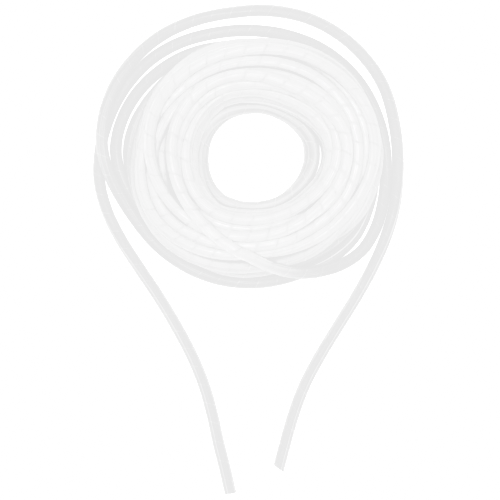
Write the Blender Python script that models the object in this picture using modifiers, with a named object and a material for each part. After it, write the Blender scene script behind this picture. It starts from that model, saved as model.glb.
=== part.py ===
"""A coil of spiral cable wrap: a soft plastic tube with one slit that winds round it, laid flat.

The wrap is one length of tube. Its wound middle is the coil, a turned ring whose rows of turns
show on every side. Its two ends are hollow tubes with their slit, and each leaves the coil as
its outermost turn and runs out to a tail on the floor.
"""

import math

import bmesh
import bpy
import numpy as np
from mathutils import Vector

# The tube, in metres
TUBE_DIAMETER = 0.0060
TUBE_WALL = 0.0010
SLIT_PITCH = 0.0100
SLIT_WIDTH = 0.0005

# The coil
COIL_BORE_DIAMETER = 0.0475
TURNS_ACROSS = 6
ROWS_OF_TURNS = 6
TURN_GAP = 0.0002
CLEARANCE = 0.0003

# How finely round shapes are cut
COIL_STEPS = 40
TUBE_STEPS = 12
TURN_SIDES = 10
ROUTE_STEP = 0.004

# The right end, from its cut tail to where it meets the coil. The tail is given as (x, y) from
# the coil's axis, in metres. The turn is given as (degrees round the coil, distance out from a
# tube that hugs the coil, height above a tube that lies on the floor), both in tube diameters.
RIGHT_TAIL = [
    (0.0140, -0.1597),
    (0.0175, -0.1465),
    (0.0218, -0.1315),
    (0.0274, -0.1165),
    (0.0353, -0.1015),
    (0.0444, -0.0865),
]
RIGHT_TURN = [
    (-53, 4.22, 0.00),
    (-42, 3.29, 0.00),
    (-31, 2.70, 0.00),
    (-20, 2.29, 0.00),
    (-8, 1.95, 0.00),
    (10, 1.84, 0.00),
    (30, 2.14, 0.00),
    (48, 2.18, 0.00),
    (66, 2.09, 0.00),
    (82, 1.87, 0.00),
    (98, 1.69, 0.00),
    (113, 1.86, 0.04),
    (127, 2.09, 0.30),
    (140, 2.19, 0.68),
    (152, 2.24, 0.95),
    (164, 2.16, 1.07),
    (174, 1.95, 1.07),
    (183, 1.58, 1.02),
    (190, 1.20, 0.88),
    (198, 0.79, 0.55),
    (208, 0.45, 0.20),
    (220, 0.28, 0.02),
    (236, 0.14, 0.00),
    (254, 0.05, 0.00),
    (271, 0.01, 0.00),
    (284, 0.01, 0.00),
]

# The left end, the same way. It passes under the right end at the coil's left side.
LEFT_TAIL = [
    (-0.0101, -0.1716),
    (-0.0132, -0.1580),
    (-0.0161, -0.1465),
    (-0.0194, -0.1315),
    (-0.0236, -0.1165),
    (-0.0297, -0.1015),
    (-0.0376, -0.0865),
]
LEFT_TURN = [
    (237, 3.56, 0.00),
    (225, 2.66, 0.00),
    (212, 2.35, 0.00),
    (200, 2.34, 0.00),
    (188, 2.31, 0.00),
    (177, 2.09, 0.00),
    (165, 1.81, 0.00),
    (150, 1.49, 0.00),
    (135, 1.14, 0.00),
    (121, 0.71, 0.00),
    (108, 0.31, 0.00),
    (92, 0.08, 0.00),
    (75, 0.10, 0.00),
    (55, 0.33, 0.00),
    (35, 0.53, 0.00),
    (15, 0.65, 0.00),
    (-5, 0.88, 0.00),
    (-18, 1.20, 0.00),
    (-30, 1.56, 0.00),
    (-40, 1.67, 0.00),
    (-49, 1.32, 0.00),
    (-57, 0.70, 0.00),
    (-66, 0.16, 0.00),
]

TUBE_RADIUS = TUBE_DIAMETER / 2
TURN_SPACING = TUBE_DIAMETER + TURN_GAP
ROW_HEIGHT = TURN_SPACING * math.sqrt(3) / 2
TURN_FLAT = TUBE_RADIUS * math.cos(math.pi / TURN_SIDES)
COIL_OUTER_RADIUS = COIL_BORE_DIAMETER / 2 + (TURNS_ACROSS - 1) * TURN_SPACING + TUBE_DIAMETER
HUG_RADIUS = COIL_OUTER_RADIUS + CLEARANCE + TUBE_RADIUS


def clear_scene():
    for obj in list(bpy.data.objects):
        bpy.data.objects.remove(obj)


def make_material():
    """Natural polyethylene: milky, waxy and a little see-through."""
    material = bpy.data.materials.new("natural_polyethylene")
    material.use_nodes = True
    shader = material.node_tree.nodes["Principled BSDF"]
    shader.inputs["Base Color"].default_value = (0.90, 0.91, 0.90, 1)
    shader.inputs["Roughness"].default_value = 0.42
    shader.inputs["Metallic"].default_value = 0
    return material


def rows_of_turns():
    """The centres (r, z) of the turns, a list for each row from the floor up, bore side first."""
    rows = []
    for row in range(ROWS_OF_TURNS):
        nested = row % 2
        first = COIL_BORE_DIAMETER / 2 + TUBE_RADIUS + nested * TURN_SPACING / 2
        height = TURN_FLAT + row * ROW_HEIGHT
        rows.append([Vector((first + i * TURN_SPACING, height)) for i in range(TURNS_ACROSS - nested)])
    return rows


def coil_outline():
    """The outline of the bundle of turns, down its outer side: the bare corners of each turn.

    Every turn is a polygon of TURN_SIDES sides with a flat one at the bottom.
    """
    rows = rows_of_turns()
    outer = [row[-1] for row in reversed(rows)]
    bottom = rows[0][-2::-1]
    inner = [row[0] for row in rows[1:]]
    top = rows[-1][1:-1]
    turns = outer + bottom + inner + top
    side = math.tau / TURN_SIDES
    corner_angles = [-math.pi / 2 + (k + 0.5) * side for k in range(TURN_SIDES)]
    points = []
    for before, turn, after in zip(turns[-1:] + turns[:-1], turns, turns[1:] + turns[:1]):
        start = math.atan2(*(before - turn).yx)
        sweep = (start - math.atan2(*(after - turn).yx)) % math.tau
        corners = [(start - angle) % math.tau for angle in corner_angles]
        bare = sorted(angle for angle in corners if side / 3 < angle < sweep - side / 3)
        points.append((before + turn) / 2)
        for angle in bare:
            out = Vector((math.cos(start - angle), math.sin(start - angle)))
            points.append(turn + TUBE_RADIUS * out)
    return points


def make_coil(collection, material):
    """The wound middle: the bundle's outline turned round the coil's axis."""
    outline = coil_outline()
    corners = [(r, 0, z) for r, z in outline]
    edges = [(i, (i + 1) % len(corners)) for i in range(len(corners))]
    mesh = bpy.data.meshes.new("coil")
    mesh.from_pydata(corners, edges, [])
    mesh.materials.append(material)
    coil = bpy.data.objects.new("coil", mesh)
    collection.objects.link(coil)
    turn = coil.modifiers.new("turn", "SCREW")
    turn.steps = turn.render_steps = COIL_STEPS
    turn.use_merge_vertices = True
    turn.merge_threshold = 0.00001
    turn.use_smooth_shade = True
    return coil


def turn_points(turn):
    """The points of a route that follows the coil's outer side."""
    points = []
    for degrees, out, lift in turn:
        angle = math.radians(degrees)
        radius = HUG_RADIUS + out * TUBE_DIAMETER
        height = TUBE_RADIUS + lift * TUBE_DIAMETER
        points.append((radius * math.cos(angle), radius * math.sin(angle), height))
    return points


def smooth_route(tail, turn):
    """Points ROUTE_STEP apart on a smooth curve through the tail's points and the turn's."""
    knots = np.array([(x, y, TUBE_RADIUS) for x, y in tail] + turn_points(turn))
    chords = np.linalg.norm(np.diff(knots, axis=0), axis=1)
    along = np.concatenate([[0], np.cumsum(chords)])
    slopes = np.gradient(knots, along, axis=0)
    fine = np.linspace(0, along[-1], 40 * len(knots))
    span = np.clip(np.searchsorted(along, fine, side="right") - 1, 0, len(chords) - 1)
    t = ((fine - along[span]) / chords[span])[:, None]
    reach = chords[span][:, None]
    curve = (
        (2 * t**3 - 3 * t**2 + 1) * knots[span]
        + (t**3 - 2 * t**2 + t) * reach * slopes[span]
        + (3 * t**2 - 2 * t**3) * knots[span + 1]
        + (t**3 - t**2) * reach * slopes[span + 1]
    )
    curve[:, 2] = np.maximum(curve[:, 2], TUBE_RADIUS)
    lengths = np.concatenate([[0], np.cumsum(np.linalg.norm(np.diff(curve, axis=0), axis=1))])
    places = np.linspace(0, lengths[-1], round(lengths[-1] / ROUTE_STEP) + 1)
    route = np.stack([np.interp(places, lengths, curve[:, axis]) for axis in range(3)], axis=1)
    return route, lengths[-1]


def make_guide(name, route, helpers):
    """The route as a curve that the straight strip is bent along."""
    data = bpy.data.curves.new(name, "CURVE")
    data.dimensions = "3D"
    data.twist_mode = "Z_UP"
    spline = data.splines.new("POLY")
    spline.points.add(len(route) - 1)
    for point, place in zip(spline.points, route):
        point.co = (*place, 1)
    guide = bpy.data.objects.new(name, data)
    guide.hide_render = True
    guide.display_type = "WIRE"
    helpers.objects.link(guide)
    return guide


def straight_strip(name, turns):
    """A strip wound left-handed into a straight tube along +X, with a square cut end at x = 0."""
    width = SLIT_PITCH - SLIT_WIDTH
    inner, outer = TUBE_RADIUS - TUBE_WALL, TUBE_RADIUS
    corners = [(0, 0, inner), (0, 0, outer), (width, 0, outer), (width, 0, inner)]
    start = Vector((-SLIT_PITCH, 0, 0))
    profile = bpy.data.meshes.new(name + "_profile")
    profile.from_pydata([start + Vector(c) for c in corners], [(0, 1), (1, 2), (2, 3), (3, 0)], [])
    wound = bpy.data.objects.new(name + "_profile", profile)
    bpy.context.scene.collection.objects.link(wound)
    winding = wound.modifiers.new("winding", "SCREW")
    winding.axis = "X"
    winding.angle = -math.tau
    winding.screw_offset = SLIT_PITCH
    winding.iterations = turns
    winding.steps = winding.render_steps = TUBE_STEPS
    graph = bpy.context.evaluated_depsgraph_get()
    strip = bpy.data.meshes.new_from_object(wound.evaluated_get(graph))
    bpy.data.objects.remove(wound)

    work = bmesh.new()
    work.from_mesh(strip)
    ends = [edge for edge in work.edges if edge.is_boundary]
    bmesh.ops.holes_fill(work, edges=ends, sides=4)
    everything = work.verts[:] + work.edges[:] + work.faces[:]
    cut = bmesh.ops.bisect_plane(
        work, geom=everything, plane_co=(0, 0, 0), plane_no=(1, 0, 0), clear_inner=True
    )
    rim = [item for item in cut["geom_cut"] if isinstance(item, bmesh.types.BMEdge)]
    bmesh.ops.contextual_create(work, geom=rim)
    bmesh.ops.recalc_face_normals(work, faces=work.faces[:])
    work.to_mesh(strip)
    work.free()
    strip.name = name
    return strip


def make_end(name, tail, turn, collection, helpers, material):
    """One end of the wrap: a strip wound into a tube, bent along its route."""
    route, length = smooth_route(tail, turn)
    strip = straight_strip(name, math.floor(length / SLIT_PITCH))
    strip.materials.append(material)
    end = bpy.data.objects.new(name, strip)
    collection.objects.link(end)
    bend = end.modifiers.new("bend", "CURVE")
    bend.object = make_guide(name + "_route", route, helpers)
    bend.deform_axis = "POS_X"
    strip.shade_smooth()
    strip.set_sharp_from_angle(angle=math.radians(40))
    return end


def centre_on_floor(parts, helpers):
    """Moves the whole so that its box is centred on the Z axis."""
    bpy.context.view_layer.update()
    graph = bpy.context.evaluated_depsgraph_get()
    corners = []
    for part in parts:
        shape = part.evaluated_get(graph)
        corners += [shape.matrix_world @ Vector(corner) for corner in shape.bound_box]
    middle = [(min(c[axis] for c in corners) + max(c[axis] for c in corners)) / 2 for axis in range(2)]
    for obj in parts + list(helpers.objects):
        obj.location -= Vector((*middle, 0))


def main():
    clear_scene()
    collection = bpy.data.collections.new("spiral_cable_wrap")
    helpers = bpy.data.collections.new("routes")
    for group in (collection, helpers):
        bpy.context.scene.collection.children.link(group)
    material = make_material()
    coil = make_coil(collection, material)
    right_end = make_end("right_end", RIGHT_TAIL, RIGHT_TURN, collection, helpers, material)
    left_end = make_end("left_end", LEFT_TAIL, LEFT_TURN, collection, helpers, material)
    centre_on_floor([coil, right_end, left_end], helpers)


main()
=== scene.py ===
# %% [markdown]
# # A hand-wound coil of spiral cable wrap
#
# Spiral wrap is a soft plastic tube that is cut once, along a helix, from one end to the other.
# What looks like a tube is really one flat strip, wound round and round, with a thin slit
# between its turns. Cables go in through the slit, and the strip springs shut round them.
#
# This one is a 10 m length, wound by hand and laid flat, with its two cut ends loose. The frame
# gives the coil as a plain ring. Here it becomes the real thing: one line of 10 m that lies turn
# on turn, and a strip of plastic that winds along it.

import math

import bmesh
import bpy
import numpy as np
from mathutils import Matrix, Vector


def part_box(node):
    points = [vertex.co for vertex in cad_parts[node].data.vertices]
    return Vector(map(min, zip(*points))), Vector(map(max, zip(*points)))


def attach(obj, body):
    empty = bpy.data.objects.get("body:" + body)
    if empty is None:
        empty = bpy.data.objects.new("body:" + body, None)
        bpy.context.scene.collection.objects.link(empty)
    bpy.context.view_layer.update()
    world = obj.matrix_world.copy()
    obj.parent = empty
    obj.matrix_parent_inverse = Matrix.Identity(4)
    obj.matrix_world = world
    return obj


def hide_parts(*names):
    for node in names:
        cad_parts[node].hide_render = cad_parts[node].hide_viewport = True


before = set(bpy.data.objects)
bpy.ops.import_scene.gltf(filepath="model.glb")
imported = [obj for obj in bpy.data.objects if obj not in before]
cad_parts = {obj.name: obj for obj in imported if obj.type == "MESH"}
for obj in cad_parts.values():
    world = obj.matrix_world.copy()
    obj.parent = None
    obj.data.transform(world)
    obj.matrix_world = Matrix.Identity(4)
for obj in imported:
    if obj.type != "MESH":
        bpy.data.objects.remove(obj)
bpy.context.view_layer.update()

# %% [markdown]
# ## Sizes
#
# Everything follows from the tube. The coil's place and its outer radius come from the frame, so
# the wrap lies where the frame says. A tube that hugs the coil has its middle at `hug_radius`.

# %% Sizes in metres
DIAMETER = 0.0060
WALL = 0.0010
PITCH = 0.0100
STRIP_WIDTH = 0.00998  # a straight tube's slit is a fiftieth of a millimetre wide
CLEARANCE = 0.0003  # between the coil and a tube that hugs it

RADIUS = DIAMETER / 2
coil_low, coil_high = (np.array(corner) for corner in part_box("coil"))
coil_middle = (coil_low + coil_high) / 2 * (1, 1, 0)
coil_radius = (coil_high[0] - coil_low[0]) / 2
hug_radius = coil_radius + CLEARANCE + RADIUS
print("coil", coil_middle.round(4), "radius", round(coil_radius, 4))

# %% [markdown]
# ## The routes of the two ends
#
# The ends are the part that a person laid by hand, so their routes are listed points.
# A tail's points are (x, y) from the coil's middle. A turn's points are (degrees round the coil,
# distance out, height), counted in tube diameters from a tube that hugs the coil on the floor.
# The right end climbs over the left one where they cross, on the coil's left side.

# %% The routes
RIGHT_TAIL = [
    (0.0140, -0.1597),
    (0.0175, -0.1465),
    (0.0218, -0.1315),
    (0.0274, -0.1165),
    (0.0353, -0.1015),
    (0.0444, -0.0865),
]
RIGHT_TURN = [
    (-53, 4.22, 0.00),
    (-42, 3.29, 0.00),
    (-31, 2.70, 0.00),
    (-20, 2.29, 0.00),
    (-8, 1.95, 0.00),
    (10, 1.84, 0.00),
    (30, 2.14, 0.00),
    (48, 2.18, 0.00),
    (66, 2.09, 0.00),
    (82, 1.87, 0.00),
    (98, 1.69, 0.00),
    (113, 1.86, 0.04),
    (127, 2.09, 0.30),
    (140, 2.19, 0.68),
    (152, 2.24, 0.95),
    (164, 2.16, 1.07),
    (174, 1.95, 1.07),
    (183, 1.58, 1.02),
    (190, 1.20, 0.88),
    (198, 0.79, 0.55),
    (208, 0.45, 0.20),
    (220, 0.28, 0.02),
    (236, 0.14, 0.00),
    (254, 0.05, 0.00),
    (271, 0.01, 0.00),
    (284, 0.01, 0.00),
]
LEFT_TAIL = [
    (-0.0101, -0.1716),
    (-0.0132, -0.1580),
    (-0.0161, -0.1465),
    (-0.0194, -0.1315),
    (-0.0236, -0.1165),
    (-0.0297, -0.1015),
    (-0.0376, -0.0865),
]
LEFT_TURN = [
    (237, 3.56, 0.00),
    (225, 2.66, 0.00),
    (212, 2.35, 0.00),
    (200, 2.34, 0.00),
    (188, 2.31, 0.00),
    (177, 2.09, 0.00),
    (165, 1.81, 0.00),
    (150, 1.49, 0.00),
    (135, 1.14, 0.00),
    (121, 0.71, 0.00),
    (108, 0.31, 0.00),
    (92, 0.08, 0.00),
    (75, 0.10, 0.00),
    (55, 0.33, 0.00),
    (35, 0.53, 0.00),
    (15, 0.65, 0.00),
    (-5, 0.88, 0.00),
    (-18, 1.20, 0.00),
    (-30, 1.56, 0.00),
    (-40, 1.67, 0.00),
]


def on_turn(degrees, out, lift):
    """Polar places round the coil, worked out as (radius cos, radius sin, height)."""
    angle = np.radians(degrees)
    radius = hug_radius + np.asarray(out) * DIAMETER
    height = RADIUS + np.asarray(lift) * DIAMETER
    return np.stack([radius * np.cos(angle), radius * np.sin(angle), height + 0 * radius], axis=-1)


def route_knots(tail, turn):
    """The tail's points on the floor, then the turn's, all measured from the coil's middle."""
    flat = np.array([(x, y, RADIUS) for x, y in tail])
    return np.concatenate([flat, on_turn(*np.array(turn).T)])


left_knots = route_knots(LEFT_TAIL, LEFT_TURN)
right_knots = route_knots(RIGHT_TAIL, RIGHT_TURN)[::-1]
print("knots", len(left_knots), "left and", len(right_knots), "right")

# %% [markdown]
# ## The way the coil was wound
#
# A person winds a coil in layers: out and in, row on row. So the coil is a list of lanes, each a
# row and a place across that row, and one turn is spent in each lane. The list runs from the left
# end to the right end, so from the last turn, which lies across the top of the coil, down to the
# floor. Across a row, 0 is the inner side and 1 the outer side. The lanes at -1 are the turns
# round the eye, and the one at 2 is the turn on the floor outside all the others.

# %% The lanes, from the top of the coil down
ROWS = [
    (5.6, [0.25]),
    (5.0, [0.90, 0.63, 0.37, 0.10]),
    (4.0, [0.00, 0.25, 0.50, 0.75, 1.00]),
    (3.0, [0.92, 0.70, 0.50, 0.30, 0.08]),
    (2.0, [0.00, 0.20, 0.40, 0.60, 0.80, 1.00]),
    (1.0, [0.88, 0.60, 0.34, 0.10, -0.85]),
    (0.0, [-1.00, 0.00, 0.33, 0.66, 0.97, 2.00]),
]
ROW_STEP = DIAMETER * 0.85
TOP_ROW = 5

lanes = np.array([(row, across) for row, places in ROWS for across in places])
print(len(lanes), "lanes")

# %% [markdown]
# ## How wide the coil is on each side
#
# No coil wound by hand is a true ring. This one is fuller on its left, its top rows leave a step
# round the eye there, and on its right a gap shows between the eye's turns and the rest. Six
# outlines say how far out the middle of a tube may lie: at the inner and the outer side, for the
# lowest row and for the top one, round the eye, and for the turn on the floor outside. A seventh
# is the furthest that a turn may slide out while the coil settles. Each is a few distances in
# millimetres, at chosen angles, joined by a smooth curve that closes on itself.

# %% The coil's outlines
INNER_LOW = {0: 40.2, 12: 40.0, 22: 38.6, 35: 36.6, 55: 33.3, 90: 31.0, 120: 30.5, 150: 29.3,
             180: 28.8, 210: 29.5, 235: 31.3, 270: 30.0, 300: 32.5, 325: 34.5, 345: 38.6}
INNER_TOP = {0: 42.0, 20: 42.0, 35: 40.0, 60: 36.0, 90: 35.0, 110: 35.3, 135: 35.2, 160: 35.0,
             190: 35.3, 215: 37.0, 235: 36.0, 270: 33.5, 300: 34.0, 325: 38.0, 345: 41.0}
OUTER_LOW = {0: 60.5, 30: 59.0, 60: 57.0, 90: 55.0, 110: 57.0, 120: 56.5, 130: 56.0, 140: 57.0,
             150: 58.5, 160: 60.0, 170: 61.8, 180: 62.0, 190: 62.5, 200: 63.0, 215: 63.0,
             230: 62.0, 245: 60.5, 260: 58.5, 270: 57.5, 285: 57.0, 300: 58.3, 320: 59.5, 340: 60.5}
OUTER_TOP = {0: 61.5, 30: 61.0, 60: 57.5, 90: 54.0, 135: 53.5, 160: 55.5, 190: 57.0, 220: 57.0,
             250: 54.5, 270: 51.0, 290: 50.5, 320: 56.0}
EYE = {0: 30.2, 15: 30.4, 45: 27.0, 90: 24.9, 135: 24.6, 180: 24.1, 235: 26.4, 270: 24.9,
       300: 27.3, 325: 26.4, 345: 29.5}
RIM = {0: 62.8, 15: 61.7, 35: 61.0, 55: 59.6, 75: 57.4, 90: 57.0, 105: 57.8, 115: 59.8,
       125: 61.7, 138: 64.0, 150: 66.2, 162: 68.0, 172: 68.9, 180: 68.8, 190: 66.5, 200: 63.0,
       212: 60.0, 225: 59.0, 240: 58.6, 270: 58.0, 300: 58.6, 315: 59.8, 330: 61.3}
LIMIT = {0: 64.5, 30: 63.5, 60: 60.5, 75: 57.5, 90: 55.5, 110: 57.5, 120: 57.0, 130: 56.5,
         140: 57.5, 150: 59.0, 160: 60.5, 170: 62.3, 180: 62.5, 190: 63.0, 200: 64.0, 215: 64.0,
         230: 63.5, 245: 61.5, 260: 59.5, 270: 58.5, 285: 57.8, 300: 59.2, 320: 61.5, 340: 63.0}

# %% Curves through the outlines
SOFTEN = 10


def closed_outline(distances):
    """Distance against angle: straight steps between the chosen angles, blurred round the ring."""
    degrees = np.arange(360)
    line = np.interp(degrees, list(distances), list(distances.values()), period=360) / 1000
    blur = np.hanning(2 * SOFTEN + 1)
    around = np.concatenate([line[-SOFTEN:], line, line[:SOFTEN]])
    return np.convolve(around, blur / blur.sum(), mode="valid")


def outline_at(outline, degrees):
    """The outline's distance at any angles, read between its whole degrees."""
    return np.interp(degrees, np.arange(360), outline, period=360)


inner_low, inner_top = closed_outline(INNER_LOW), closed_outline(INNER_TOP)
outer_low, outer_top = closed_outline(OUTER_LOW), closed_outline(OUTER_TOP)
eye, rim, limit = closed_outline(EYE), closed_outline(RIM), closed_outline(LIMIT)
print("turns lie", eye.min().round(4), "to", rim.max().round(4), "m from the coil's middle")

# %% [markdown]
# ## Lanes and waves
#
# The distance round the coil, counted in turns, picks the lane. A hand never winds twice the same,
# so a few slow waves, whose lengths don't fit the turn, push each turn a little off its lane. The
# waves are drawn by chance from a fixed seed, so the coil is the same each time.

# %% Waves, smooth steps and lanes
WAVES = 9
WAVE_RATES = (0.35, 2.6)
TAPER = 1.5
chance = np.random.default_rng(7)


def slow_waves(turns, reach):
    """A smooth wander along the wrap: a sum of sines with chance lengths and starts."""
    rate = chance.uniform(*WAVE_RATES, WAVES)
    start = chance.uniform(0, math.tau, WAVES)
    size = chance.normal(0, 1, WAVES) / np.sqrt(WAVES)
    return reach * (size * np.sin(math.tau * rate * turns[:, None] + start)).sum(axis=1)


def smoothstep(t):
    """From 0 to 1, flat at both ends: 3 t^2 - 2 t^3."""
    t = np.clip(t, 0, 1)
    return t * t * (3 - 2 * t)


def lane_radius(row, across, degrees):
    """Distance out: inner + across (outer - inner), then on to the eye or to the rim."""
    top = np.clip(row / TOP_ROW, 0, 1) ** TAPER
    inner = (1 - top) * outline_at(inner_low, degrees) + top * outline_at(inner_top, degrees)
    outer = (1 - top) * outline_at(outer_low, degrees) + top * outline_at(outer_top, degrees)
    between = inner + np.clip(across, 0, 1) * (outer - inner)
    to_eye = np.clip(-across, 0, 1) * (outline_at(eye, degrees) - inner)
    to_rim = np.clip(across - 1, 0, 1) * (outline_at(rim, degrees) - outer)
    return between + to_eye + to_rim


print("top row", lane_radius(TOP_ROW, np.array([0, 1]), 0).round(4), "m out on the right")

# %% [markdown]
# ## Turn on turn
#
# The line runs clockwise as seen from above. A short smooth step takes it from each lane to the
# next one, and never at quite the same place round the coil. The first step takes twice as long,
# because the strand comes up over the coil's side there. The turn on the floor outside the others
# is in plain view in the photograph, so it doesn't wander.

# %% The turns of the coil
START_ANGLE = -140
END_ANGLE = 0
POINTS_PER_TURN = 72
LANE_CHANGE = 0.36
CHANGE_SHIFT = 0.25
LAST_CHANGE = 1.05
WANDER_OUT = 0.0018
WANDER_UP = 0.0012
turns_wound = len(lanes) + (START_ANGLE - END_ANGLE) / 360


def wound_points():
    """The coil's turns: lane to lane, as (radius cos, radius sin, height) round the coil."""
    turns = np.arange(0, turns_wound, 1 / POINTS_PER_TURN)
    shift = chance.uniform(-CHANGE_SHIFT, CHANGE_SHIFT, len(lanes) - 1)
    change_at = np.arange(1, len(lanes)) + shift
    change_at[-1] = len(lanes) - LAST_CHANGE
    width = np.full(len(lanes) - 1, LANE_CHANGE)
    width[0] = 2 * LANE_CHANGE
    steps = smoothstep((turns[:, None] - change_at) / width + 0.5)
    row, across = (lanes[0] + steps @ np.diff(lanes, axis=0)).T
    degrees = START_ANGLE - 360 * turns
    wander = np.clip(2 - across, 0, 1)
    radius = lane_radius(row, across, degrees) + wander * slow_waves(turns, WANDER_OUT)
    height = RADIUS + row * ROW_STEP + wander * slow_waves(turns, WANDER_UP)
    angle = np.radians(degrees)
    return np.stack([radius * np.cos(angle), radius * np.sin(angle), height], axis=1)


wound = wound_points()
print(round(turns_wound, 1), "turns,", len(wound), "points")

# %% [markdown]
# ## A smooth curve through points
#
# A bent tube has no kinks. So the curve between two points is a cubic piece, which leaves each
# point in the direction from the one before to the one after. It is worked out finely first, and
# then walked with even steps.

# %% Curves with even steps
FINENESS = 4


def even_points(curve, step):
    """The same line with its points an even step apart."""
    lengths = np.linalg.norm(np.diff(curve, axis=0), axis=1)
    lengths = np.concatenate([[0], np.cumsum(lengths)])
    places = np.linspace(0, lengths[-1], round(lengths[-1] / step) + 1)
    return np.stack([np.interp(places, lengths, curve[:, axis]) for axis in range(3)], axis=1)


def smooth_line(knots, step):
    """Points `step` apart: cubic pieces through the knots, with slopes from the neighbours."""
    chords = np.linalg.norm(np.diff(knots, axis=0), axis=1)
    along = np.concatenate([[0], np.cumsum(chords)])
    slopes = np.gradient(knots, along, axis=0)
    fine = np.linspace(0, along[-1], round(along[-1] / step) * FINENESS)
    span = np.clip(np.searchsorted(along, fine, side="right") - 1, 0, len(chords) - 1)
    t = ((fine - along[span]) / chords[span])[:, None]
    reach = chords[span][:, None]
    curve = (
        (2 * t**3 - 3 * t**2 + 1) * knots[span]
        + (t**3 - 2 * t**2 + t) * reach * slopes[span]
        + (3 * t**2 - 2 * t**3) * knots[span + 1]
        + (t**3 - t**2) * reach * slopes[span + 1]
    )
    return even_points(curve, step)


# %% [markdown]
# ## From one cut end to the other
#
# The left end climbs on to the top across the coil's lower side, and the right end leaves along
# the floor. With the routes and the turns, their points make one line.

# %% The whole line
CLIMB = [(-49, 1.33, 0.10), (-57, 0.80, 0.50), (-66, 0.10, 1.35), (-77, -0.95, 2.55),
         (-89, -2.10, 3.70), (-105, -3.00, 4.50), (-122, -3.40, 4.90)]
LEAVE = [(-20, 0.12, 0.00), (-38, 0.45, 0.00), (-52, 0.30, 0.00), (-64, 0.08, 0.00)]
LINE_STEP = 0.003
climb, leave = on_turn(*np.array(CLIMB).T), on_turn(*np.array(LEAVE).T)
line = smooth_line(np.concatenate([left_knots, climb, wound, leave, right_knots]), LINE_STEP)
line[:, 2] = np.maximum(line[:, 2], RADIUS)
print("line", len(line), "points,", round(LINE_STEP * (len(line) - 1), 2), "m")

# %% [markdown]
# ## What pushes and pulls on the turns
#
# The lanes only say roughly where a turn goes, and where two turns cross they would run through
# each other. So the line is settled like a real one. Points that are nearer than a diameter, less
# the little that a soft tube gives, push each other apart. Neighbours along the line keep their
# distance, and sharp wiggles are evened out, because the tube is stiff.

# %% Pushes and pulls
REACH = 1.35 * DIAMETER
CONTACT = 0.87 * DIAMETER
NEXT_ALONG = 5  # points this near along the line never push each other
PUSH = 1.5  # a little more than the overlap, so that fewer rounds do
SHARED = 0.5  # what each further neighbour that pushes takes off a push
PULL = 0.35  # how much of a stretch is taken back in one round
TINY = 1e-9


def near_pairs(points):
    """Pairs of points within reach of each other, but not next to each other along the line."""
    p = points.astype(np.float32)
    square = (p**2).sum(axis=1)
    first, second = np.nonzero(square[:, None] + square - 2 * p @ p.T < REACH**2)
    apart = second - first > NEXT_ALONG
    return first[apart], second[apart]


def push_apart(points, first, second, free):
    """Each overlapping pair moves apart by its overlap, shared between the points that are free."""
    gap = points[first] - points[second]
    far = np.linalg.norm(gap, axis=1) + TINY
    close = far < CONTACT
    first, second = first[close], second[close]
    share = free[first] + free[second] + TINY
    move = gap[close] / far[close, None] * (CONTACT - far[close])[:, None]
    total = np.zeros_like(points)
    count = np.ones(len(points))
    for ends, sign in ((first, 1), (second, -1)):
        weight = sign * free[ends] / share
        for axis in range(3):
            total[:, axis] += np.bincount(ends, move[:, axis] * weight, len(points))
        count += np.bincount(ends, minlength=len(points)) * SHARED
    return PUSH * total / count[:, None]


def keep_lengths(points, step, free):
    """Neighbours along the line move to lie a step apart again."""
    span = np.diff(points, axis=0)
    far = np.linalg.norm(span, axis=1)[:, None]
    move = PULL * span * (1 - step / far)
    points[:-1] += move * free[:-1, None]
    points[1:] -= move * free[1:, None]


def even_out(points, stride, strength, free):
    """Bending stiffness: takes away a share of the fourth difference along the line."""
    bend = np.zeros_like(points)
    two = 2 * stride
    bend[stride:-stride] = points[:-two] - 2 * points[stride:-stride] + points[two:]
    rate = np.zeros_like(points)
    rate[stride:-stride] = bend[:-two] - 2 * bend[stride:-stride] + bend[two:]
    points -= strength * rate * free[:, None]


print("turns touch at", CONTACT, "m")

# %% [markdown]
# ## What holds the turns in place
#
# The two ends are held where they were laid, and so are the foot of the climb and the turn on the
# floor that leads to the right end, because all of these are in plain view in the photograph. The
# rest is free, and goes over into what is held within a few points. The floor holds the turns up,
# and the eye and the outermost outline keep the coil's shape. The whole numbers here count points
# of the line.

# %% What is held, and the walls
CLIMB_HELD = 5
RIM_HELD = 42
FREED_OVER = 8
LOOSE_AFTER = 35
LOOSE_OVER = 30
INNER_PLAY = 0.001


def length_of(knots):
    """How many points of the line lie on these knots."""
    return len(smooth_line(knots, LINE_STEP))


def round_coil(points):
    """Each point's angle round the coil, in degrees, and its distance out."""
    return np.degrees(np.arctan2(points[:, 1], points[:, 0])), np.hypot(points[:, 0], points[:, 1])


def inmost_places(points):
    """How far in each point may go: to the eye if it began there, else to its row's inner side."""
    degrees, radius = round_coil(points)
    row = (points[:, 2] - RADIUS) / ROW_STEP
    inner_side = lane_radius(row, 0 * row, degrees) - INNER_PLAY
    return np.maximum(outline_at(eye, degrees), np.minimum(radius, inner_side))


def keep_inside(points, free):
    """The floor, and the eye and the outer side of the coil, push back what crosses them."""
    points[:, 2] = np.maximum(points[:, 2], RADIUS)
    degrees, radius = round_coil(points)
    kept = np.clip(radius, inmost, outline_at(limit, degrees))
    kept = radius + (kept - radius) * free * loose
    points[:, :2] *= (kept / radius)[:, None]


held_left = length_of(np.concatenate([left_knots, climb[:CLIMB_HELD]]))
held_right = length_of(np.concatenate([wound[-RIM_HELD:], leave, right_knots]))
place = np.arange(len(line))
from_left, from_right = place - held_left, len(line) - held_right - place
free = smoothstep(from_left / FREED_OVER) * smoothstep(from_right / FREED_OVER)
loose = smoothstep((from_left - LOOSE_AFTER) / LOOSE_OVER) * smoothstep(from_right / FREED_OVER)
inmost = inmost_places(line)
print("held", held_left, "points at the left end and", held_right, "at the right end")

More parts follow.
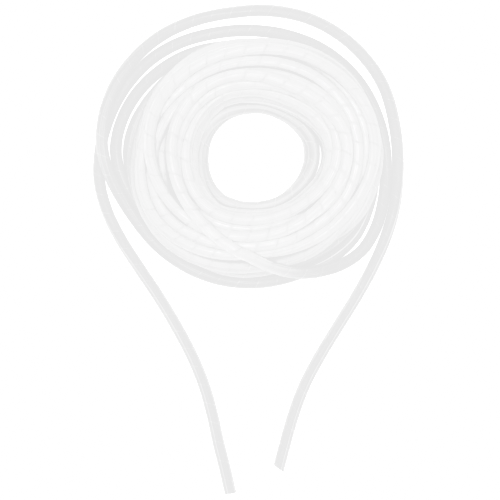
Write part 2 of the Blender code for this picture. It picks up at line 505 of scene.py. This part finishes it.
# %% [markdown]
# ## Letting the turns settle
#
# In each round every point sinks a little, and then all of the above acts on it. Sinking stops in
# the last rounds, so that what was pressed together can part. Finding the near pairs takes the
# longest, so they are found anew only every few rounds, and the slow stiffness that reaches
# furthest along the line acts only then.

# %% Settle the line
ROUNDS = 420
LAST_ROUNDS = 60
PAIRS_EVERY = 12
SINK = 0.00004
STIFFNESS = [(1, 0.06), (3, 0.03)]  # points to each side, and the share that is evened out
SLOW_STIFFNESS = (6, 0.03)


def settle(points):
    """Moves the points, round by round, to where the turns rest on each other."""
    for round_number in range(ROUNDS):
        if round_number % PAIRS_EVERY == 0:
            first, second = near_pairs(points)
        points[:, 2] -= SINK * free * (round_number < ROUNDS - LAST_ROUNDS)
        points += push_apart(points, first, second, free)
        keep_lengths(points, LINE_STEP, free)
        for stride, strength in STIFFNESS:
            even_out(points, stride, strength, free)
        if round_number % PAIRS_EVERY == 0:
            even_out(points, *SLOW_STIFFNESS, free)
        keep_inside(points, free)


settle(line)
first, second = near_pairs(line)
nearest = np.linalg.norm(line[first] - line[second], axis=1)
pressed = (nearest < CONTACT).mean()
print("nearest turns", nearest.min().round(5), "m, share pressed together", pressed.round(4))
print("highest", line[:, 2].max().round(4) + RADIUS)

# %% [markdown]
# ## A fine line to wind along
#
# The strip needs the line every quarter of a millimetre, with a direction along it, a direction
# to its side, one up, and how sharply it bends. The line is nowhere steep, so "up" is simply the
# world's up with its part along the line taken away.

# %% The fine line
FINE_STEP = 0.00025
BEND_BLUR = 24


def blurred(vectors, width):
    """A running weighted mean along the line, with the end values carried on past the ends."""
    blur = np.hanning(2 * width + 1)
    blur /= blur.sum()
    padded = np.pad(vectors, ((width, width), (0, 0)), mode="edge")
    return np.stack([np.convolve(padded[:, axis], blur, mode="valid") for axis in range(3)], axis=1)


def unit(vectors):
    """The same directions with length one."""
    return vectors / np.linalg.norm(vectors, axis=-1, keepdims=True)


fine = smooth_line(line, FINE_STEP) + coil_middle
along = np.arange(len(fine)) * FINE_STEP
forward = unit(np.gradient(fine, axis=0))
bend = blurred(np.gradient(forward, FINE_STEP, axis=0), BEND_BLUR)
upward = unit(np.array([0, 0, 1]) - forward * forward[:, 2:])
sideways = np.cross(forward, upward)
print("fine line", len(fine), "points, length", round(along[-1], 3), "m")
print("tightest bend", round(1 / np.linalg.norm(bend, axis=1).max(), 4), "m")

# %% [markdown]
# ## Where the turns pile up
#
# Milky plastic looks whiter the more of it there is, because light that passes through one turn
# is sent back by those beneath it. A single tube on the table stays greyish. A renderer could
# follow the light through all the turns, but that is slow and noisy. So this light is painted
# into the plastic's colour: a map of the floor notes how many metres of wrap lie above and beside
# each spot, with the nearest counting most, and each point of the strip reads the map where it
# lies, as painted light that makes it paler the more wrap is near.

# %% The map of the pile
PILE_REACH = 0.008
PILE_CELL = 0.0005


def pile_map(points):
    """For each cell, the sum over the line near it of step (1 - (distance / reach)^2)."""
    low = points[:, :2].min(axis=0) - 2 * PILE_REACH
    high = points[:, :2].max(axis=0) + 2 * PILE_REACH
    metres = np.zeros(np.ceil((high - low) / PILE_CELL).astype(int))
    cells = ((points[:, :2] - low) / PILE_CELL).astype(int)
    np.add.at(metres, tuple(cells.T), FINE_STEP)
    reach = round(PILE_REACH / PILE_CELL)
    total = np.zeros_like(metres)
    for step_x in range(-reach, reach + 1):
        for step_y in range(-reach, reach + 1):
            nearness = 1 - (step_x**2 + step_y**2) / reach**2
            if nearness > 0:
                total += nearness * np.roll(metres, (step_x, step_y), axis=(0, 1))
    return total, low


def pile_at(points):
    """The map at any points, read in proportion between the four cells round each."""
    place = (points[..., :2] - pile_low) / PILE_CELL - 0.5
    cell = place.astype(int)
    (x, y), (part_x, part_y) = np.moveaxis(cell, -1, 0), np.moveaxis(place - cell, -1, 0)
    near = (1 - part_y) * pile[x, y] + part_y * pile[x, y + 1]
    far = (1 - part_y) * pile[x + 1, y] + part_y * pile[x + 1, y + 1]
    return (1 - part_x) * near + part_x * far


pile, pile_low = pile_map(fine)
print("pile, least, middle and most", np.percentile(pile_at(fine), [0, 50, 100]).round(3))

# %% [markdown]
# ## The strip and its turns
#
# The strip's section is a thin bar with rounded edges. It goes round the line left-handed, one
# turn for each pitch. Where the line bends, the turns on its inner side would overlap, so they
# press edge to edge and the pitch grows a little. Winding by hand also twists the tube, by about
# two turns in a metre. The two ends lie free, so their last stretch isn't twisted.

# %% The section, the pitch and the twist
EDGE = 0.00004
MIDDLE_PART = 0.35
FANNING = 0.02
MOST_FANNING = 0.2
PITCH_WANDER = 0.004
PITCH_WAVE = 0.05
TWIST = 12.7
UNTWISTED = 0.12


def strip_section():
    """The bar's outline as (share of the half width, distance from the tube's middle)."""
    outer, inner = RADIUS, RADIUS - WALL
    tip = 1 - 2 * EDGE / STRIP_WIDTH
    return np.array([
        (-tip, outer), (-MIDDLE_PART, outer), (MIDDLE_PART, outer), (tip, outer),
        (1, outer - EDGE), (1, inner + EDGE), (tip, inner), (0, inner), (-tip, inner),
        (-1, inner + EDGE), (-1, outer - EDGE),
    ])


def count_turns():
    """Turns made at each point, a sum of step / pitch along the line, and the pitch there."""
    sharpness = np.linalg.norm(bend, axis=1)
    pitch = PITCH * (1 + FANNING * np.minimum(sharpness * RADIUS, MOST_FANNING))
    pitch *= 1 + PITCH_WANDER * slow_waves(along / PITCH_WAVE, 1.0)
    return np.concatenate([[0], np.cumsum(FINE_STEP / pitch[:-1])]), pitch


turns_made, pitch = count_turns()
twist = TWIST * np.maximum(np.minimum(along, along[-1] - along) - UNTWISTED, 0)
print("the strip goes round", round(turns_made[-1]), "times")

# %% [markdown]
# ## Winding the strip along the line
#
# On the outside of a bend the turns fan apart and the slit opens, less far than it would if the
# soft strip didn't stretch with it. Inside the coil the neighbours hold it nearly shut, which is
# why the slit shows on the loose loops and hardly at all on the coil. Past a cut end the strip is
# simply pressed flat against the cut's plane, which leaves the clean face that scissors leave.

# %% The strip's surface
SEGMENTS = 20
EDGE_CURL = 0.00003
CURL_AT = 0.05
GIVE = 0.75
GIVE_PRESSED = 0.20
PRESSED_PILE = 0.05
MOST_OF_PITCH = 0.499
give = GIVE + GIVE_PRESSED * np.clip(pile_at(fine) / PRESSED_PILE, 0, 1)


def on_line(values, places):
    """Values along the fine line, read at any places."""
    return np.stack([np.interp(places, along, values[:, axis]) for axis in range(3)], axis=-1)


def wind_strip(first_turn, last_turn, cut_start=None, cut_end=None):
    """The strip's points: middle of the line + radius (cos sideways + sin upward), for each angle.

    A cut is (place along the line, slope across the tube). The notes that come with the points
    are each one's place and direction round the twisted tube, the pile, and how near an edge.
    """
    turns = np.linspace(first_turn, last_turn, round((last_turn - first_turn) * SEGMENTS) + 1)
    middles = np.interp(turns, turns_made, along)
    middles += np.minimum(turns, 0) * PITCH + np.maximum(turns - turns_made[-1], 0) * PITCH
    angle = (math.tau * turns)[:, None, None]
    cos, sin = np.cos(angle), np.sin(angle)
    outwards = cos * on_line(sideways, middles)[:, None] + sin * on_line(upward, middles)[:, None]
    stretch = 1 - RADIUS * (outwards * on_line(bend, middles)[:, None]).sum(axis=-1)
    share, radius = strip_section().T
    room = MOST_OF_PITCH * np.interp(middles, along, pitch)[:, None]
    narrowing = stretch ** (np.interp(middles, along, give)[:, None] - 1)
    places = middles[:, None] + share * np.minimum(STRIP_WIDTH / 2 * narrowing, room)
    reach = radius + EDGE_CURL * np.maximum(stretch - 1, 0) / CURL_AT * np.abs(share) ** 4
    across = reach * cos[..., 0]
    if cut_start is not None:
        places = np.maximum(places, cut_start[0] + cut_start[1] * across)
    if cut_end is not None:
        places = np.minimum(places, cut_end[0] + cut_end[1] * across)
    outwards = cos * on_line(sideways, places) + sin * on_line(upward, places)
    points = on_line(fine, places) + reach[..., None] * outwards
    points[..., 2] = np.maximum(points[..., 2], 0)
    round_tube = angle[..., 0] - np.interp(places, along, twist)
    tube = np.stack([places, np.cos(round_tube), np.sin(round_tube)], axis=-1)
    return points, {"tube": tube, "pile": pile_at(points), "edge": np.abs(share) + 0 * places}


print("give of the strip", give.min().round(2), "to", give.max().round(2))

# %% [markdown]
# ## From points to a mesh
#
# The points lie in rings, one ring for each place where the strip's section was put. Quads join
# each ring to the next, and a face closes each end. The notes become attributes, which the
# plastic reads. The rounded edges are kept crisp, or they would shade the whole strip.

# %% A mesh from rings of points
MERGE = 1e-6
SHARP_EDGE = math.radians(30)


def strip_mesh(name, points, notes):
    """Joins the rings of points with quads, closes both ends and drops what a cut pressed flat."""
    rings, corners = points.shape[:2]
    ring, corner = np.meshgrid(np.arange(rings - 1), np.arange(corners), indexing="ij")
    after = (corner + 1) % corners
    start, following = ring * corners, (ring + 1) * corners
    quads = [start + corner, start + after, following + after, following + corner]
    quads = np.stack(quads, axis=-1).reshape(-1, 4)
    last = (rings - 1) * corners
    caps = [list(range(corners))[::-1], list(range(last, last + corners))]
    mesh = bpy.data.meshes.new(name)
    mesh.from_pydata(points.reshape(-1, 3), [], quads.tolist() + caps)
    for note, values in notes.items():
        kind, field = ("FLOAT_VECTOR", "vector") if values.ndim == 3 else ("FLOAT", "value")
        attribute = mesh.attributes.new(note, kind, "POINT")
        attribute.data.foreach_set(field, values.reshape(-1).astype(np.float32))
    work = bmesh.new()
    work.from_mesh(mesh)
    bmesh.ops.remove_doubles(work, verts=work.verts[:], dist=MERGE)
    bmesh.ops.dissolve_degenerate(work, edges=work.edges[:], dist=MERGE)
    bmesh.ops.recalc_face_normals(work, faces=work.faces[:])
    work.to_mesh(mesh)
    work.free()
    mesh.shade_smooth()
    mesh.set_sharp_from_angle(angle=SHARP_EDGE)
    return mesh


# %% [markdown]
# ## The pieces
#
# The wrap is one length, but a mesh of 10 m of it is heavy, so it is cut into five pieces that
# meet end to end: the two ends, and three lengths of the wound coil between them. The left end
# is cut nearly square, and the right one at a slant. The strip runs on a little past each cut, so
# that the cut face is whole.

# %% Make the pieces
LENGTHS = 3
PAST_CUT = 0.6
LEFT_CUT = (0.0004, -0.08)
RIGHT_CUT = (along[-1] - 0.0012, -0.42)
left_stop = np.interp(LINE_STEP * length_of(left_knots), along, turns_made)
right_stop = np.interp(along[-1] - LINE_STEP * length_of(right_knots), along, turns_made)
stops = np.linspace(left_stop, right_stop, LENGTHS + 1)


def add_piece(name, first_turn, last_turn, cut_start=None, cut_end=None):
    """One stretch of the strip, between two counts of turns, as an object."""
    points, notes = wind_strip(first_turn, last_turn, cut_start, cut_end)
    piece = bpy.data.objects.new(name, strip_mesh(name, points, notes))
    bpy.context.scene.collection.objects.link(piece)
    print(name, sum(len(p.vertices) - 2 for p in piece.data.polygons), "triangles")
    return piece


left_end = add_piece("wrap_left_end", -PAST_CUT, stops[0], cut_start=LEFT_CUT)
lengths = [add_piece(f"wrap_wound_{i + 1}", *stops[i : i + 2]) for i in range(LENGTHS)]
right_end = add_piece("wrap_right_end", stops[-1], turns_made[-1] + PAST_CUT, cut_end=RIGHT_CUT)

# %% [markdown]
# ## Shader maths
#
# Node trees are easier to read as sums. This small class wraps a socket, so that `a * 0.5 + b`
# adds the Math nodes for it, and `add` makes any other node.


# %% A socket that can be added and multiplied
class Value:
    """A number that a node gives, with the tree that the node is in."""

    def __init__(self, tree, socket):
        self.tree = tree
        self.socket = socket

    def add(self, kind, settings=(), **inputs):
        """A node of this kind: its settings, then values or links for its sockets.

        A socket is given by its name, or as _2 where it is number 2 of the node's sockets.
        """
        node = self.tree.nodes.new(kind)
        for name, setting in dict(settings).items():
            setattr(node, name, setting)
        for name, value in inputs.items():
            numbered = name[1:].isdigit()
            socket = node.inputs[int(name[1:]) if numbered else name.replace("_", " ")]
            if isinstance(value, Value):
                self.tree.links.new(value.socket, socket)
            else:
                socket.default_value = value
        return node

    def math(self, operation, *values):
        """A Math node on this value and the others."""
        numbers = {f"_{i}": value for i, value in enumerate((self, *values))}
        node = self.add("ShaderNodeMath", {"operation": operation}, **numbers)
        return Value(self.tree, node.outputs[0])

    def __add__(self, other):
        return self.math("ADD", other)

    def __mul__(self, other):
        return self.math("MULTIPLY", other)

    def __sub__(self, other):
        return self.math("SUBTRACT", other)

    def __rsub__(self, other):
        return self * -1.0 + other

    __radd__ = __add__
    __rmul__ = __mul__


# %% [markdown]
# ## Natural polyethylene
#
# Undyed polyethylene is milky and waxy, and thin walls of it let much of the light through, so
# light is scattered below its skin. The die that it was pressed through leaves faint streaks along
# the tube. So every point of the strip carries its place along the wrap and its direction round
# the twisted tube, and the streaks are noise that is stretched a hundredfold along the length. A
# painted highlight, one thin pale line at a set angle round the tube, lies in a band of painted
# shade. Faint clouds come from handling, and the strip is painted a little paler towards its edges,
# as painted light. All of this only shifts the colour between two greys: that of a single tube and
# that of the full coil, whose paler grey is painted light.

# %% The finishes of the plastic
# The grey of a single tube, then the paler grey of the full coil, which is painted light, and how
# the pile moves between them.
SINGLE_TONE = (0.55, 0.55, 0.55, 1)
PILE_LIGHT_TONE = (0.99, 0.99, 0.99, 1)
SINGLE_PILE = 0.015
PILE_GAIN, PILE_POWER = 8.0, 0.6
STREAKS, STREAK_DETAIL, STREAK_SHARE = (9.0, 6.0, 6.0), 4.0, 1.3
CLOUDS, CLOUD_DETAIL, CLOUD_SHARE = (90.0, 1.4, 1.4), 3.0, 0.3
# Where the painted highlight lies round the tube, and how thin it and its band of painted shade
# are.
HIGHLIGHT_LINE_ANGLE = math.radians(116)
LINE_POWER, LINE_SHARE = 90.0, 0.9
BAND_POWER, BAND_SHARE = 12.0, 0.25
# How sharply the painted edge light rises towards the strip's edges, and how strong it is.
EDGE_POWER, EDGE_SHARE = 24.0, 0.5
GLOSS_LOW, GLOSS_SHARE = 0.30, 0.25
STREAK_BUMP, STREAK_DEPTH = 0.25, 0.0002
MILKINESS = 0.0008
BENDING_OF_LIGHT = 1.51

# %% The plastic


def polyethylene():
    """The plastic: painted pile light + streaks + clouds + painted highlight line + painted edge
    light, on two greys.
    """
    material = bpy.data.materials.new("natural_polyethylene")
    material.use_nodes = True
    tree = material.node_tree
    shader = tree.nodes["Principled BSDF"]
    base = Value(tree, None)

    def noted(name, output):
        """An attribute of the mesh, by its name and by what is read of it."""
        node = base.add("ShaderNodeAttribute", {"attribute_name": name})
        return Value(tree, node.outputs[output])

    def vector(operation, *vectors):
        """Vector maths on links or plain vectors."""
        numbers = {f"_{i}": v for i, v in enumerate(vectors)}
        return base.add("ShaderNodeVectorMath", {"operation": operation}, **numbers).outputs

    def noise(stretch, detail):
        """Noise on the place along and round the tube, so many times as fine in each direction."""
        scaled = Value(tree, vector("MULTIPLY", place, stretch)[0])
        node = base.add("ShaderNodeTexNoise", Vector=scaled, Scale=1.0, Detail=detail)
        return Value(tree, node.outputs[0])

    place = noted("tube", "Vector")
    streak, cloud = noise(STREAKS, STREAK_DETAIL), noise(CLOUDS, CLOUD_DETAIL)
    round_tube = Value(tree, vector("MULTIPLY", place, (0, 1, 1))[0])
    round_tube = Value(tree, vector("NORMALIZE", round_tube)[0])
    # A painted highlight: a thin pale line at a set angle round the tube, in a band of painted
    # shade.
    line_side = (0, math.cos(HIGHLIGHT_LINE_ANGLE), math.sin(HIGHLIGHT_LINE_ANGLE))
    towards_line = Value(tree, vector("DOT_PRODUCT", round_tube, line_side)["Value"])
    towards_line = towards_line.math("MAXIMUM", 0.0)
    painted_highlight = towards_line.math("POWER", LINE_POWER) * LINE_SHARE
    painted_shade_band = towards_line.math("POWER", BAND_POWER) * BAND_SHARE
    # Painted light: the colour grows paler the more wrap lies near, for light sent back between the
    # turns.
    painted_pile_light = (noted("pile", "Fac") - SINGLE_PILE) * PILE_GAIN
    painted_pile_light = painted_pile_light.math("MAXIMUM", 0.0).math("POWER", PILE_POWER)
    streaks, clouds = (streak - 0.5) * STREAK_SHARE, (cloud - 0.5) * CLOUD_SHARE
    # Painted light: the strip is paler towards its edges.
    painted_edge_light = noted("edge", "Fac").math("POWER", EDGE_POWER) * EDGE_SHARE
    # The plastic's streaks and clouds, with the painted light and shade added to them.
    streaks_and_painted_light = painted_pile_light + streaks + clouds + (painted_highlight - painted_shade_band) + painted_edge_light
    colour = base.add("ShaderNodeMix", {"data_type": "RGBA"},
                      _0=streaks_and_painted_light, _6=SINGLE_TONE, _7=PILE_LIGHT_TONE)
    bump = base.add("ShaderNodeBump", Height=streak, Strength=STREAK_BUMP, Distance=STREAK_DEPTH)
    tree.links.new(colour.outputs[2], shader.inputs["Base Color"])
    tree.links.new((streak * GLOSS_SHARE + GLOSS_LOW).socket, shader.inputs["Roughness"])
    tree.links.new(bump.outputs[0], shader.inputs["Normal"])
    shader.inputs["IOR"].default_value = BENDING_OF_LIGHT
    shader.inputs["Subsurface Weight"].default_value = 1.0
    shader.inputs["Subsurface Radius"].default_value = (1, 1, 1)
    shader.inputs["Subsurface Scale"].default_value = MILKINESS
    return material


plastic = polyethylene()
print(plastic.name, "has", len(plastic.node_tree.nodes), "nodes")

# %% [markdown]
# ## Give the pieces their plastic and their place in the part
#
# The wrap doesn't move in itself, so every piece rides on the part's one body. The two ends stand
# for the part's two tubes, and the three wound lengths together for its ring.

# %% Bodies and what each piece replaces
pieces = [left_end, *lengths, right_end]
for piece in pieces:
    piece.data.materials.append(plastic)
    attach(piece, "root")
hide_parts("left_end")
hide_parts("right_end")
for length in lengths:
    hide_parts("coil")
print(len(pieces), "pieces")

# %% [markdown]
# ## The length of line that each piece covers
#
# Each piece's length of line is worked out and printed. The coil's three lengths follow
# on from each other, and each end starts where it leaves the coil. The strip reaches half its
# width past the middle of its last turn, so each path does too.

PATH_STEP = 0.002


def part_of_line(first_turn, last_turn):
    """The line's points from half a strip before to half a strip past, and the length between."""
    low, high = np.interp([first_turn, last_turn], turns_made, along)
    from_place, to_place = max(low - STRIP_WIDTH / 2, 0), min(high + STRIP_WIDTH / 2, along[-1])
    places = np.linspace(from_place, to_place, round((to_place - from_place) / PATH_STEP) + 1)
    return on_line(fine, places), high - low


def declare(piece, first_turn, last_turn, backwards=False):
    """Works out the piece's part of the line, from its start or from its end, and prints its
    length.
    """
    path, length = part_of_line(first_turn, last_turn)
    path = path[::-1] if backwards else path
    print(piece.name, round(length, 3), "m")


declare(left_end, 0, stops[0], backwards=True)
declare(right_end, stops[-1], turns_made[-1])
for i, piece in enumerate(lengths):
    declare(piece, stops[i], stops[i + 1])

# %% [markdown]
# ## The table
#
# The photograph looks straight down on a white table that is lit from below, so it shows pure
# white even through the slivers between two turns. One large plain square that glows a little
# does the same.

# %% The table
HALF_TABLE = 3.0
TABLE_WHITE = 0.93
TABLE_GLOW = 0.9


def add_table():
    """A square on the floor, which isn't part of the wrap."""
    mesh = bpy.data.meshes.new("floor")
    low, high = -HALF_TABLE, HALF_TABLE
    corners = [(low, low, 0), (high, low, 0), (high, high, 0), (low, high, 0)]
    mesh.from_pydata(corners, [], [(0, 1, 2, 3)])
    floor = bpy.data.objects.new("floor", mesh)
    bpy.context.scene.collection.objects.link(floor)
    material = bpy.data.materials.new("white_table")
    material.use_nodes = True
    shader = material.node_tree.nodes["Principled BSDF"]
    shader.inputs["Base Color"].default_value = (TABLE_WHITE, TABLE_WHITE, TABLE_WHITE, 1)
    shader.inputs["Roughness"].default_value = 0.9
    shader.inputs["Specular IOR Level"].default_value = 0.1
    shader.inputs["Emission Color"].default_value = (1, 1, 1, 1)
    shader.inputs["Emission Strength"].default_value = TABLE_GLOW
    mesh.materials.append(material)
    return floor


floor = add_table()
print(floor.name, 2 * HALF_TABLE, "m wide")

# %% [markdown]
# ## The light
#
# A wide soft light hangs overhead, so the tops of the turns are the brightest. A weak one from
# the far left adds a little shine, and the surroundings are a little darker, which draws a soft
# grey edge along each tube.

# %% The light
OVERHEAD = ((0.0, 0.0, 1.3), 1.1, 8.8)
WINDOW = ((-0.9, 0.9, 0.9), 0.5, 1)
SURROUNDINGS = 0.46


def add_light(name, place, size, watts):
    """A round soft light that faces the part and doesn't show itself."""
    data = bpy.data.lights.new(name, "AREA")
    data.shape = "DISK"
    data.size = size
    data.energy = watts
    light = bpy.data.objects.new(name, data)
    light.location = place
    light.rotation_euler = (-Vector(place)).to_track_quat("-Z", "Y").to_euler()
    light.visible_camera = False
    bpy.context.scene.collection.objects.link(light)
    return light


lights = [add_light("overhead", *OVERHEAD), add_light("window", *WINDOW)]
world = bpy.data.worlds.new("studio")
world.use_nodes = True
world.node_tree.nodes["Background"].inputs["Color"].default_value = (1, 1, 1, 1)
world.node_tree.nodes["Background"].inputs["Strength"].default_value = SURROUNDINGS
scene = bpy.context.scene
scene.world = world
print(len(lights), "lights")

# %% [markdown]
# ## The tone of the picture
#
# The photograph was developed very bright: the table is pure white, and even the shadows between
# the turns are a pale grey. A tone curve does the same here, from light in the scene to light in
# the picture, and leaves the plastic itself as it is.

# %% The tone curve
TONES = [(0.02, 0.74), (0.08, 0.79), (0.20, 0.803), (0.40, 0.812), (0.54, 0.829),
         (0.63, 0.867), (0.74, 0.905), (0.86, 0.935), (0.99, 1.00)]
ALL_COLOURS = 3


def set_tones():
    """Lays the tone curve over red, green and blue alike."""
    settings = scene.view_settings
    settings.view_transform = "Standard"
    settings.use_curve_mapping = True
    mapping = settings.curve_mapping
    mapping.extend = "HORIZONTAL"
    for light, shown in TONES:
        mapping.curves[ALL_COLOURS].points.new(light, shown).handle_type = "AUTO_CLAMPED"
    mapping.update()


set_tones()
print("tone curve of", len(TONES), "points")

# %% [markdown]
# ## The camera
#
# It looks straight down from one metre, with the whole wrap in the frame as in the photograph.
# The frame's width is measured just above the floor, where the tails lie.

# %% The camera
FRAME_WIDTH = 0.2542
CAMERA_HEIGHT = 1.0
MEASURED_AT = 0.005
SENSOR = 36
AIM = (0.0008, -0.0001)
camera_data = bpy.data.cameras.new("camera")
camera_data.sensor_width = SENSOR
camera_data.lens = SENSOR * (CAMERA_HEIGHT - MEASURED_AT) / FRAME_WIDTH
camera = bpy.data.objects.new("camera", camera_data)
camera.location = (*AIM, CAMERA_HEIGHT)
bpy.context.scene.collection.objects.link(camera)
scene.camera = camera
print("lens", round(camera_data.lens, 1), "mm")
